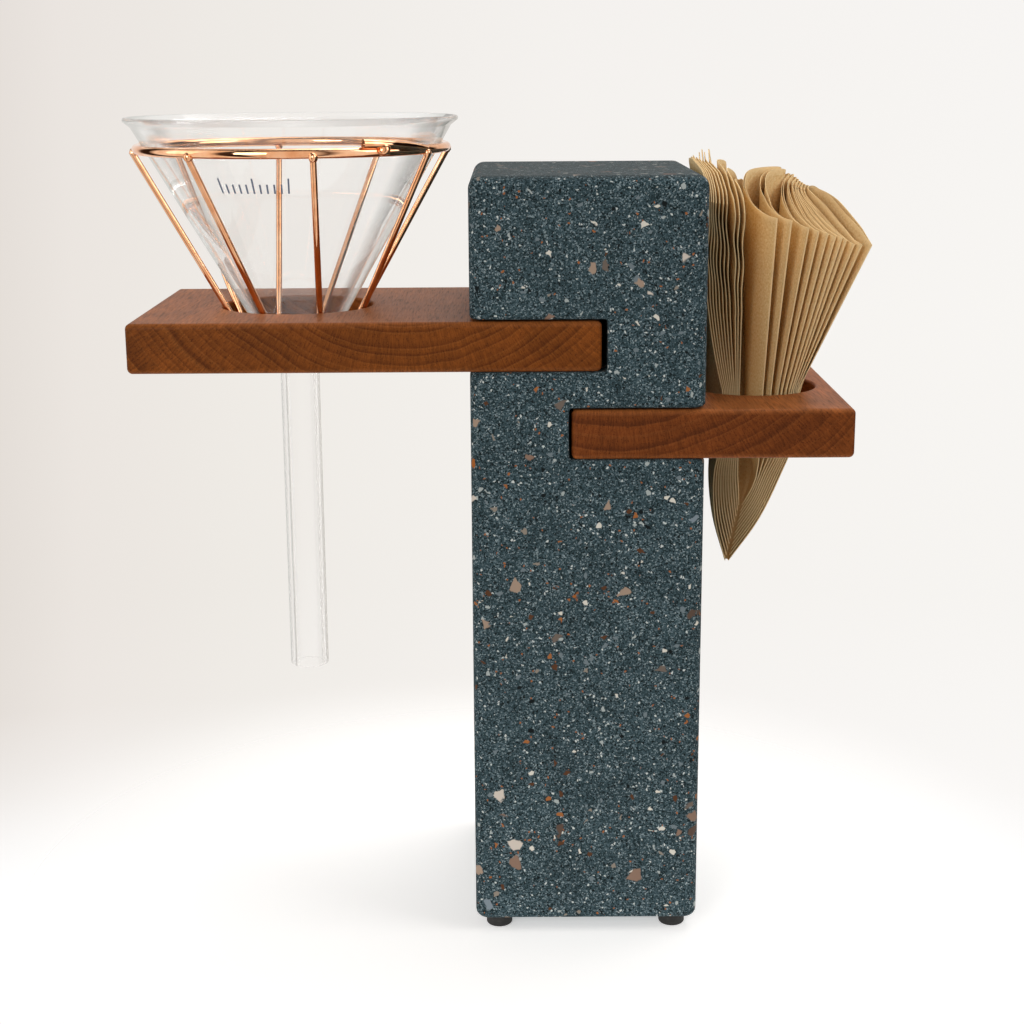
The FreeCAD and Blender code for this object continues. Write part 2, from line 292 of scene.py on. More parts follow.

# %% [markdown]
# ## Terrazzo
# The column is cast from a grey-blue cement binder with crushed stone, then honed.
# The eye sees three things at once: a fine salt-and-pepper sand in the binder,
# grains of about a millimetre, and a few chips of white, cream, rust-brown and black
# stone. A Voronoi texture divides space into cells, and a cell cut by the surface
# looks like a cut stone. Cells drawn smaller than their borders leave binder
# between the chips. A random number for each cell picks which ones are stone. The
# top face is painted darker and greyer, a painted shade for the way light falls on it.

# %% Terrazzo
sand_size = 0.34 * MM
grains = [
    # cell size (mm), share of cells that are stone, binder margin, colour stops
    (0.7, 0.2, 0.14, [(0.0, "#0E1416"), (0.42, "#7F8D90"), (0.64, "#CBD0CD"),
                      (0.8, "#171E20"), (0.94, "#A0633A")]),
    (1.8, 0.08, 0.14, [(0.0, "#A9B0AE"), (0.22, "#0F1517"), (0.46, "#D9D4C8"),
                       (0.62, "#5A3A26"), (0.74, "#6F7B80"), (0.88, "#A0653A"), (0.94, "#8E8478")]),
    (4.4, 0.055, 0.16, [(0.0, "#A38D7B"), (0.25, "#8A7060"), (0.42, "#A5602C"),
                        (0.5, "#5C4A40"), (0.66, "#CFC4B8"), (0.8, "#6E6259"), (0.9, "#7E8A92")]),
]

terrazzo, tree, shader = new_material("honed blue-grey terrazzo")
coords = add(tree, "TexCoord").outputs["Object"]
sand = add(tree, "TexVoronoi", {"Vector": coords, "Scale": 1 / sand_size})
sand_value = add(tree, "SeparateColor", {0: sand.outputs["Color"]})
binder = add(tree, "ValToRGB", {0: sand_value}, stops=[
    (0.0, "#101819"), (0.2, "#243438"), (0.55, "#384A50"), (0.85, "#4E6067"), (1.0, "#8C9B9F")])
cloud = add(tree, "TexNoise", {"Vector": coords, "Scale": 1 / (14 * MM), "Detail": 3.0})
cloudy = add(tree, "MapRange", {
    "Value": cloud, "From Min": 0.3, "From Max": 0.7, "To Min": 0.86, "To Max": 1.12})
tinted = add(tree, "VectorMath", {0: binder, "Scale": cloudy}, operation="SCALE")
crush = add(tree, "TexNoise", {"Vector": coords, "Scale": 1 / (1.6 * MM)})
shift = add(tree, "VectorMath", {
    0: crush.outputs["Color"], 1: (0.5, 0.5, 0.5)}, operation="SUBTRACT")
shift = add(tree, "VectorMath", {0: shift, "Scale": 1.1 * MM}, operation="SCALE")
crushed = add(tree, "VectorMath", {0: coords, 1: shift}, operation="ADD")
print("sand grains are", round(sand_size / MM, 2), "mm wide")

# %% Stones in the terrazzo
surface_colour = tinted
stone_masks = []
for cell, share, margin, colours in grains:
    places = {"Vector": crushed, "Scale": 1 / (cell * MM)}
    stones = add(tree, "TexVoronoi", places)
    borders = add(tree, "TexVoronoi", places, feature="DISTANCE_TO_EDGE")
    draw = add(tree, "SeparateColor", {0: stones.outputs["Color"]})
    chosen = add(tree, "Math", {0: draw, 1: share}, operation="LESS_THAN")
    inside = add(tree, "MapRange", {
        "Value": borders.outputs["Distance"], "From Min": margin, "From Max": margin + 0.05})
    stone = add(tree, "Math", {0: chosen, 1: inside}, operation="MULTIPLY")
    stone_colour = add(tree, "ValToRGB", {0: draw.outputs[1]}, stops=colours)
    stone_colour.color_ramp.interpolation = "CONSTANT"
    mixed = add(tree, "Mix", {0: stone, 6: surface_colour, 7: stone_colour}, data_type="RGBA")
    surface_colour = mixed.outputs[2]
    stone_masks.append(stone)
# Painted shade: faces that look up are painted darker and greyer, for the way light falls on the top.
facing_way = add(tree, "SeparateXYZ", {0: add(tree, "NewGeometry").outputs["Normal"]})
painted_top_shade = add(tree, "MapRange", {
    "Value": facing_way.outputs[2], "From Min": 0.7, "From Max": 0.95, "To Max": 0.5})
top_shaded_colour = add(tree, "Mix", {0: painted_top_shade, 6: surface_colour, 7: linear("#3A3F3F")}, data_type="RGBA")
print("terrazzo has", len(grains), "sizes of stone")

# %% Gloss and pits of the terrazzo
stone_any = stone_masks[0]
for mask in stone_masks[1:]:
    stone_any = add(tree, "Math", {0: stone_any, 1: mask}, operation="MAXIMUM")
gloss = add(tree, "MapRange", {"Value": stone_any, "To Min": 0.7, "To Max": 0.5})
pits = add(tree, "TexVoronoi", {"Vector": crushed, "Scale": 1 / (3.1 * MM)})
pit = add(tree, "MapRange", {"Value": pits.outputs["Distance"], "From Min": 0.04, "From Max": 0.13})
grit = add(tree, "Math", {0: sand_value.outputs[1], 1: 0.18, 2: pit}, operation="MULTIPLY_ADD")
bump = add(tree, "Bump", {"Height": grit, "Strength": 0.5, "Distance": 0.12 * MM})
fill(shader, {
    "Base Color": top_shaded_colour.outputs[2], "Roughness": gloss, "Specular IOR Level": 0.08,
    "Normal": bump})
dress("column_block", terrazzo)
print("terrazzo column dressed")

# %% [markdown]
# ## Rubber feet
# Four small moulded feet keep the column off the table. Black rubber is never quite
# black: it is matt, a little dusty, and has the faint orange-peel of its mould.

# %% Rubber
rubber, tree, shader = new_material("moulded black rubber")
coords = add(tree, "TexCoord").outputs["Object"]
dust = add(tree, "TexNoise", {"Vector": coords, "Scale": 1 / (1.2 * MM), "Detail": 5.0})
colour = add(tree, "ValToRGB", {0: dust}, stops=[
    (0.3, "#161616"), (0.6, "#242423"), (0.8, "#3A3937")])
bump = add(tree, "Bump", {"Height": dust, "Strength": 0.3, "Distance": 0.08 * MM})
fill(shader, {"Base Color": colour, "Roughness": 0.72, "Normal": bump})
for name in nodes:
    if name.startswith("foot_"):
        dress(name, rubber)
print("rubber feet dressed")

# %% [markdown]
# ## Oiled walnut
# Each arm is cut across the plank, so its long front face is end grain. Growth
# rings cross it as arcs about a centre well above the arm, and fine rays cross the
# rings. Each year's wood darkens slowly and then starts pale again, and no two years
# are as wide. End grain soaks up more oil than the top face, so it is darker and
# redder, and the top face is also painted lighter and paler, a painted sheen for
# the light it catches from above. On the top the fibres run from front to back as
# short dark pores. One solid pattern gives the rings, rays and pores: the distance
# from a tilted axis makes the rings, the angle about the same axis makes the rays,
# and stretched noise makes the pores.

# %% Walnut
def oiled_walnut(name, centre, ring_width, tilt, tones):
    """Walnut whose rings circle an axis along Y through centre (x, z in mm)."""
    material, tree, shader = new_material(name)
    coords = add(tree, "TexCoord").outputs["Object"]
    placed = add(tree, "Mapping", {
        "Vector": coords, "Location": (centre[0] * MM, 0.0, centre[1] * MM),
        "Rotation": (math.radians(tilt[0]), 0.0, math.radians(tilt[1]))}, vector_type="TEXTURE")
    axes = add(tree, "SeparateXYZ", {0: placed})
    flat = add(tree, "CombineXYZ", {0: axes, 1: axes.outputs[2]})
    reach = add(tree, "VectorMath", {0: flat}, operation="LENGTH")
    distance = reach.outputs["Value"]
    for wave, sway in ((24, 4.0), (3.5, 0.35)):
        wander = add(tree, "TexNoise", {"Vector": placed, "Scale": 1 / (wave * MM)})
        distance = add(tree, "Math", {
            0: wander, 1: sway * MM, 2: distance}, operation="MULTIPLY_ADD")
    seasons = add(tree, "TexNoise", {
        "W": distance, "Scale": 1 / (7 * MM), "Detail": 1.0}, noise_dimensions="1D")
    count = add(tree, "Math", {0: distance, 1: ring_width * MM}, operation="DIVIDE")
    count = add(tree, "Math", {0: seasons, 1: 1.8, 2: count}, operation="MULTIPLY_ADD")
    phase = add(tree, "Math", {0: count}, operation="FRACT")
    ring_number = add(tree, "Math", {0: count}, operation="FLOOR")
    year = add(tree, "TexWhiteNoise", {"W": ring_number}, noise_dimensions="1D")
    late = add(tree, "ValToRGB", {0: phase}, stops=[
        (0.0, tones[1]), (0.2, tones[0]), (0.45, tones[0]), (0.78, tones[2]), (0.9, tones[2]),
        (1.0, tones[1])])
    plain = add(tree, "MapRange", {"Value": year.outputs["Value"], "To Min": 0.3, "To Max": 0.92})
    wood = add(tree, "Mix", {0: plain, 6: late, 7: linear(tones[0])}, data_type="RGBA")
    # Faces that look up take the top tone: partly the face grain, partly a painted sheen.
    normal = add(tree, "SeparateXYZ", {0: add(tree, "NewGeometry").outputs["Normal"]})
    level = add(tree, "Math", {0: normal.outputs[2]}, operation="ABSOLUTE")
    face = add(tree, "Math", {0: level, 1: 0.8}, operation="MULTIPLY")
    cut_with_painted_light = add(tree, "Mix", {0: face, 6: wood.outputs[2], 7: linear(tones[3])}, data_type="RGBA")
    blotch = add(tree, "TexNoise", {
        "Vector": coords, "Scale": 1 / (17 * MM), "Detail": 5.0, "Roughness": 0.62})
    angle = add(tree, "Math", {0: axes, 1: axes.outputs[2]}, operation="ARCTAN2")
    ray_place = add(tree, "CombineXYZ", {0: angle, 1: reach.outputs["Value"], 2: axes.outputs[1]})
    ray_at = add(tree, "VectorMath", {0: ray_place, 1: (170.0, 330.0, 90.0)}, operation="MULTIPLY")
    rays_seen = add(tree, "TexNoise", {"Vector": ray_at, "Scale": 1.0})
    fibre_at = add(tree, "VectorMath", {
        0: coords, 1: (1 / (0.45 * MM), 1 / (7 * MM), 1 / (0.45 * MM))}, operation="MULTIPLY")
    fibres = add(tree, "TexNoise", {"Vector": fibre_at, "Scale": 1.0})
    # Years, blotches, rays and pores each make the colour so far a little darker or lighter.
    colour = cut_with_painted_light.outputs[2]
    for pattern, low, high, dark, light in (
            (year, 0.0, 1.0, 0.9, 1.08), (blotch, 0.3, 0.7, 0.82, 1.18),
            (rays_seen, 0.35, 0.68, 0.78, 1.2), (fibres, 0.3, 0.45, 0.58, 1.0)):
        factor = add(tree, "MapRange", {
            "Value": pattern, "From Min": low, "From Max": high, "To Min": dark, "To Max": light})
        colour = add(tree, "VectorMath", {0: colour, "Scale": factor}, operation="SCALE")
    sheen = add(tree, "MapRange", {"Value": fibres, "To Min": 0.52, "To Max": 0.38})
    bump = add(tree, "Bump", {"Height": factor, "Strength": 0.35, "Distance": 0.1 * MM})
    fill(shader, {
        "Base Color": colour, "Roughness": sheen, "Specular IOR Level": 0.08, "Normal": bump})
    print(name, "has a ring about every", ring_width, "mm")
    return material


dripper_walnut = oiled_walnut(
    "oiled walnut, dripper arm", (-26.6, 241.0), 2.6, (4.0, 0.0),
    ("#7A4116", "#8A5022", "#53270A", "#98592E"))
filter_walnut = oiled_walnut(
    "oiled walnut, filter arm", (32.2, 220.0), 3.6, (-3.0, 2.0),
    ("#763D19", "#844922", "#5A2C12", "#A76233"))
dress("dripper_arm", dripper_walnut)
dress("filter_arm", filter_walnut)

# %% [markdown]
# ## Copper wire
# The cage is drawn copper wire, bent by hand, brazed and polished. It mirrors the
# whole room, so most of what shows is bright peach beside dark brown. Drawing leaves
# hair-fine lines along the wire, and handling leaves a faint darker bloom. Copper is
# a pure metal, so its colour comes from its reflection and its IOR stays as it is.

# %% Copper
copper, tree, shader = new_material("polished drawn copper wire")
coords = add(tree, "TexCoord").outputs["Object"]
bloom = add(tree, "TexNoise", {"Vector": coords, "Scale": 1 / (5 * MM), "Detail": 4.0})
colour = add(tree, "ValToRGB", {0: bloom}, stops=[
    (0.3, "#E8A476"), (0.5, "#F4B98E"), (0.72, "#F8C9A6")])
wear = add(tree, "MapRange", {
    "Value": bloom, "From Min": 0.3, "From Max": 0.7, "To Min": 0.12, "To Max": 0.04})
# Real drawing lines are finer. They are drawn as coarse as they need to be to show.
lines = add(tree, "TexNoise", {"Vector": coords, "Scale": 1 / (0.5 * MM), "Detail": 3.0})
bump = add(tree, "Bump", {"Height": lines, "Strength": 0.1, "Distance": 0.02 * MM})
fill(shader, {"Base Color": colour, "Metallic": 1.0, "Roughness": wear, "Normal": bump})
for name in nodes:
    if name.startswith("cage_"):
        dress(name, copper)
print("copper cage dressed")

# %% [markdown]
# ## Borosilicate glass
# The funnel is blown laboratory glass: clear, thin, fire-polished at the rim. Where
# the wall faces the eye it hides nothing, and what lies behind shows unbent. Where it
# turns away, light runs a long way inside the wall, so its outline is drawn by thin
# grey-green lines. Layer Weight tells the two apart: it lets the facing wall be
# mostly clear, and it tints the turning one.

# %% Glass
glass, tree, shader = new_material("clear borosilicate glass")
coords = add(tree, "TexCoord").outputs["Object"]
swell = add(tree, "TexNoise", {"Vector": coords, "Scale": 1 / (18 * MM), "Detail": 1.0})
bump = add(tree, "Bump", {"Height": swell, "Strength": 0.2, "Distance": 0.4 * MM})
turned = add(tree, "LayerWeight", {"Blend": 0.5}).outputs["Facing"]
tint = add(tree, "ValToRGB", {0: turned}, stops=[
    (0.0, "#FFFFFF"), (0.6, "#FBFCFA"), (0.78, "#B4B8B1"), (0.92, "#62665E"), (1.0, "#2A2C27")])
body = add(tree, "MapRange", {
    "Value": turned, "From Min": 0.48, "From Max": 0.88, "To Min": 0.05, "To Max": 1.0})
fill(shader, {
    "Base Color": tint, "Roughness": 0.0, "IOR": 1.473, "Transmission Weight": 1.0,
    "Alpha": body, "Normal": bump})
dress("glass_funnel", glass)
print("glass funnel dressed")

# %% [markdown]
# ## Pieces that repeat
# The drops of braze and the tick lines on the glass repeat one small shape by a rule,
# which is what Geometry Nodes are for. A tree is run once, on a holder that carries
# the points to grow on, and its result is kept as a plain mesh.

# %% Geometry Nodes helpers
def new_tree(name, inputs):
    """An empty Geometry Nodes tree with named inputs, and the sockets they come from."""
    tree = bpy.data.node_groups.new(name, "GeometryNodeTree")
    tree.interface.new_socket("Geometry", in_out="OUTPUT", socket_type="NodeSocketGeometry")
    tree.interface.new_socket("Geometry", in_out="INPUT", socket_type="NodeSocketGeometry")
    for label, kind in inputs:
        tree.interface.new_socket(label, in_out="INPUT", socket_type="NodeSocket" + kind)
    given = add(tree, "NodeGroupInput").outputs
    return tree, given


def grow(name, tree, mesh, values):
    """Runs a tree on a mesh with the given inputs, and returns a plain object."""
    piece = put(name, mesh)
    modifier = piece.modifiers.new("grow", "NODES")
    modifier.node_group = tree
    for item in tree.interface.items_tree:
        if item.in_out == "INPUT" and item.name in values:
            modifier[item.identifier] = values[item.name]
    evaluated = piece.evaluated_get(bpy.context.evaluated_depsgraph_get())
    grown = bpy.data.meshes.new_from_object(evaluated)
    piece.modifiers.remove(modifier)
    piece.data = grown
    print(name, "has", len(grown.polygons), "faces")
    return piece


print("helpers for Geometry Nodes are ready")

# %% [markdown]
# ## Drops of braze
# Each spoke is joined to the ring by one drop of braze, and one larger drop closes
# the lap of the ring. Molten braze creeps along both wires, so a drop is longer along
# its spoke than across it, and a little uneven. The joints are measured on the
# CAD spokes: the middle of each spoke's upper end, and the way the spoke runs.

# %% Braze joints
def end_middle(mesh, top, depth):
    """The middle of a wire's end, from the vertices within depth of it."""
    heights = [v.co.z for v in mesh.vertices]
    limit = max(heights) - depth if top else min(heights) + depth
    near = [v.co for v in mesh.vertices if (v.co.z >= limit) == top or v.co.z == limit]
    return sum(near, Vector()) / len(near)


end_depth = 1.5 * MM
weld_run = Vector((0.8, 0.3, 0.5))  # along the ring where its ends lap
weld_size = 1.2  # times the size of a spoke's drop
joints = []
runs = []
sizes = []
for number in range(1, 9):
    spoke = nodes[f"cage_spoke_{number}"].data
    upper = end_middle(spoke, True, end_depth)
    lower = end_middle(spoke, False, end_depth)
    joints.append(upper)
    runs.append((upper - lower).normalized())
    sizes.append(1.0)
weld_low, weld_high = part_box("cage_ring_weld")
joints.append((weld_low + weld_high) / 2)
runs.append(weld_run.normalized())
sizes.append(weld_size)
joint_points = bpy.data.meshes.new("braze joints")
joint_points.from_pydata(joints, [], [])
joint_points.attributes.new("run", "FLOAT_VECTOR", "POINT").data.foreach_set(
    "vector", [c for run in runs for c in run])
joint_points.attributes.new("size", "FLOAT", "POINT").data.foreach_set("value", sizes)
print(len(joints), "joints, the first at", [round(c / MM, 1) for c in joints[0]], "mm")

# %% Braze drops
tree, given = new_tree("braze drops", [
    ("Width", "Float"), ("Length", "Float"), ("Unevenness", "Float"), ("Seed", "Int"),
    ("Material", "Material")])
ball = add(tree, "GeometryNodeMeshIcoSphere", {"Radius": 0.5, "Subdivisions": 3})
run = add(tree, "GeometryNodeInputNamedAttribute", {"Name": "run"}, data_type="FLOAT_VECTOR")
turn = add(tree, "FunctionNodeAlignRotationToVector", {
    "Vector": run.outputs["Attribute"]}, axis="Z")
size = add(tree, "GeometryNodeInputNamedAttribute", {"Name": "size"}, data_type="FLOAT")
luck = add(tree, "FunctionNodeRandomValue", {
    2: 0.92, 3: 1.1, "Seed": given["Seed"]}, data_type="FLOAT")
grown = add(tree, "Math", {0: size.outputs["Attribute"], 1: luck.outputs[1]}, operation="MULTIPLY")
form = add(tree, "CombineXYZ", {0: given["Width"], 1: given["Width"], 2: given["Length"]})
scaled = add(tree, "VectorMath", {0: form, "Scale": grown}, operation="SCALE")
drops = add(tree, "GeometryNodeInstanceOnPoints", {
    "Points": given["Geometry"], "Instance": ball.outputs["Mesh"], "Rotation": turn,
    "Scale": scaled})
real = add(tree, "GeometryNodeRealizeInstances", {0: drops})
lumps = add(tree, "TexNoise", {"Scale": 1 / (1.1 * MM), "Detail": 1.0})
lump = add(tree, "Math", {0: lumps, 1: 0.5}, operation="SUBTRACT")
push = add(tree, "Math", {0: lump, 1: given["Unevenness"]}, operation="MULTIPLY")
outwards = add(tree, "VectorMath", {
    0: add(tree, "GeometryNodeInputNormal"), "Scale": push}, operation="SCALE")
uneven = add(tree, "GeometryNodeSetPosition", {"Geometry": real, "Offset": outwards})
smooth = add(tree, "GeometryNodeSetShadeSmooth", {"Geometry": uneven})
finished = add(tree, "GeometryNodeSetMaterial", {"Geometry": smooth, "Material": given["Material"]})
add(tree, "NodeGroupOutput", {0: finished})

braze = grow("braze_drops", tree, joint_points, {
    "Width": 2.5 * MM, "Length": 3.1 * MM, "Unevenness": 0.5 * MM, "Seed": 4,
    "Material": copper})
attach(braze, "wire_cage")
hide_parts("cage_spoke_beads", "cage_ring_weld")

# %% [markdown]
# ## Tick lines on the glass
# A short row of plain tick lines is fired onto the cone in blue-grey enamel, every
# fifth one longer. The lines are raised by less than a tenth of a millimetre. Two
# rays cast at the CAD funnel find its wall at the row's foot and above it, which
# gives the radius and the lean that the lines have to follow.

# %% Enamel
enamel, tree, shader = new_material("fired blue-grey enamel")
coords = add(tree, "TexCoord").outputs["Object"]
thin = add(tree, "TexNoise", {"Vector": coords, "Scale": 1 / (0.35 * MM), "Detail": 3.0})
colour = add(tree, "ValToRGB", {0: thin}, stops=[
    (0.35, "#5F6A80"), (0.6, "#737E94"), (0.75, "#8B95A6")])
fill(shader, {"Base Color": colour, "Roughness": 0.45})
print("enamel is mixed")

# %% Wall of the funnel
row_foot = 225.2 * MM
probe_rise = 4.0 * MM
funnel_low, funnel_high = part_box("glass_funnel")
funnel_x = (funnel_low.x + funnel_high.x) / 2
funnel_surface = BVHTree.FromPolygons(
    [v.co for v in nodes["glass_funnel"].data.vertices],
    [p.vertices for p in nodes["glass_funnel"].data.polygons])
radii = []
for z in (row_foot, row_foot + probe_rise):
    hit = funnel_surface.ray_cast(Vector((funnel_x, -0.2, z)), Vector((0.0, 1.0, 0.0)))[0]
    radii.append(-hit.y)
wall_lean = math.atan2(radii[1] - radii[0], probe_rise)
print("wall leans", round(math.degrees(wall_lean), 1), "degrees, radius",
      round(radii[0] / MM, 2), "mm")

# %% Tick lines
tick_count = 11
row_middle = math.radians(-10.4)
row_step = math.radians(3.0)
row_start = row_middle - row_step * (tick_count - 1) / 2

tree, given = new_tree("tick lines", [
    ("Count", "Int"), ("Step", "Float"), ("Start", "Float"), ("Radius", "Float"),
    ("Foot", "Float"), ("Lean", "Float"), ("Axis x", "Float"), ("Line width", "Float"),
    ("Raise", "Float"), ("Short", "Float"), ("Long", "Float"), ("Material", "Material")])
line = add(tree, "GeometryNodeMeshLine", {"Count": given["Count"], "Offset": (0.0, 0.0, 0.0)})
index = add(tree, "GeometryNodeInputIndex")
angle = add(tree, "Math", {
    0: index, 1: given["Step"], 2: given["Start"]}, operation="MULTIPLY_ADD")
forward = add(tree, "Math", {0: given["Radius"], 1: -1.0}, operation="MULTIPLY")
start = add(tree, "CombineXYZ", {1: forward})
turned_round = add(tree, "VectorRotate", {"Vector": start, "Angle": angle}, rotation_type="Z_AXIS")
centre = add(tree, "CombineXYZ", {0: given["Axis x"], 2: given["Foot"]})
spot = add(tree, "VectorMath", {0: turned_round, 1: centre}, operation="ADD")
spots = add(tree, "GeometryNodeSetPosition", {"Geometry": line, "Position": spot})
stroke_size = add(tree, "CombineXYZ", {0: given["Line width"], 1: given["Raise"], 2: 1.0})
stroke = add(tree, "GeometryNodeMeshCube", {"Size": stroke_size})
upright = add(tree, "GeometryNodeTransform", {
    "Geometry": stroke.outputs["Mesh"], "Translation": (0.0, 0.0, 0.5)})
fifth = add(tree, "Math", {0: index, 1: 5.0}, operation="MODULO")
is_long = add(tree, "Math", {0: fifth, 1: 0.5}, operation="LESS_THAN")
length = add(tree, "Mix", {0: is_long, 2: given["Short"], 3: given["Long"]})
stretch = add(tree, "CombineXYZ", {0: 1.0, 1: 1.0, 2: length})
euler = add(tree, "CombineXYZ", {0: given["Lean"], 2: angle})
leaning = add(tree, "FunctionNodeEulerToRotation", {0: euler})
ticks = add(tree, "GeometryNodeInstanceOnPoints", {
    "Points": spots, "Instance": upright, "Rotation": leaning, "Scale": stretch})
real = add(tree, "GeometryNodeRealizeInstances", {0: ticks})
finished = add(tree, "GeometryNodeSetMaterial", {"Geometry": real, "Material": given["Material"]})
add(tree, "NodeGroupOutput", {0: finished})

tick_lines = grow("tick_lines", tree, bpy.data.meshes.new("no points"), {
    "Count": tick_count, "Step": row_step, "Start": row_start, "Radius": radii[0],
    "Foot": row_foot, "Lean": wall_lean, "Axis x": funnel_x, "Line width": 0.5 * MM,
    "Raise": 0.12 * MM, "Short": 3.0 * MM, "Long": 5.0 * MM, "Material": enamel})
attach(tick_lines, "glass_funnel")

# %% [markdown]
# ## Unbleached filter paper
# Cone filters are made of unbleached, creped wood pulp. The sheet is matt and warm,
# and fine crepe lines and darker flecks of fibre keep it from looking like plastic.
# The cut edges are painted paler than the face, a painted highlight where they catch the light.

# %% Paper
filter_paper, tree, shader = new_material("unbleached creped filter paper")
sheet_map = add(tree, "UVMap", uv_map="sheet").outputs[0]
pulp = add(tree, "TexNoise", {
    "Vector": sheet_map, "Scale": 1 / (0.8 * MM), "Detail": 4.0, "Roughness": 0.7})
colour = add(tree, "ValToRGB", {0: pulp}, stops=[
    (0.32, "#D4AB71"), (0.46, "#E4C088"), (0.6, "#ECCE99"), (0.72, "#F4DEB0")])
# Painted highlight: the cut edges are painted pale cream.
cut_with_painted_light = add(tree, "Attribute", attribute_name="cut_edge")
highlighted_colour = add(tree, "Mix", {0: cut_with_painted_light.outputs["Fac"], 6: colour, 7: linear("#FADCA8")}, data_type="RGBA")
crepe_at = add(tree, "VectorMath", {
    0: sheet_map, 1: (1 / (2.2 * MM), 1 / (0.4 * MM), 0.0)}, operation="MULTIPLY")
crepe = add(tree, "TexNoise", {"Vector": crepe_at, "Scale": 1.0, "Detail": 3.0})
bump = add(tree, "Bump", {"Height": crepe, "Strength": 0.35, "Distance": 0.08 * MM})
fill(shader, {
    "Base Color": highlighted_colour.outputs[2], "Roughness": 0.85, "Specular IOR Level": 0.12,
    "Normal": bump})
print("filter paper is ready")

# %% [markdown]
# ## Cone filters
# A cone filter is two plies of paper, crimped together along both straight sides
# and open along its curved top. Eleven of them are nested, bent into a U and pushed
# point-down through the arm. The arm holds them like a fist, so below it they close
# to a point and above it they spring open: the left legs lean on the column, and the
# right legs fan out, the innermost ones curling back on themselves.
# A cloth simulation would fight the tight nesting, so each cone is built as the
# surface that straight lines sweep between level curves. The table gives the top
# edge of each cone, outermost first, as points (x, y, z) in mm from the hole's
# axis: seven up the left leg, three round the back, nine down the right leg.

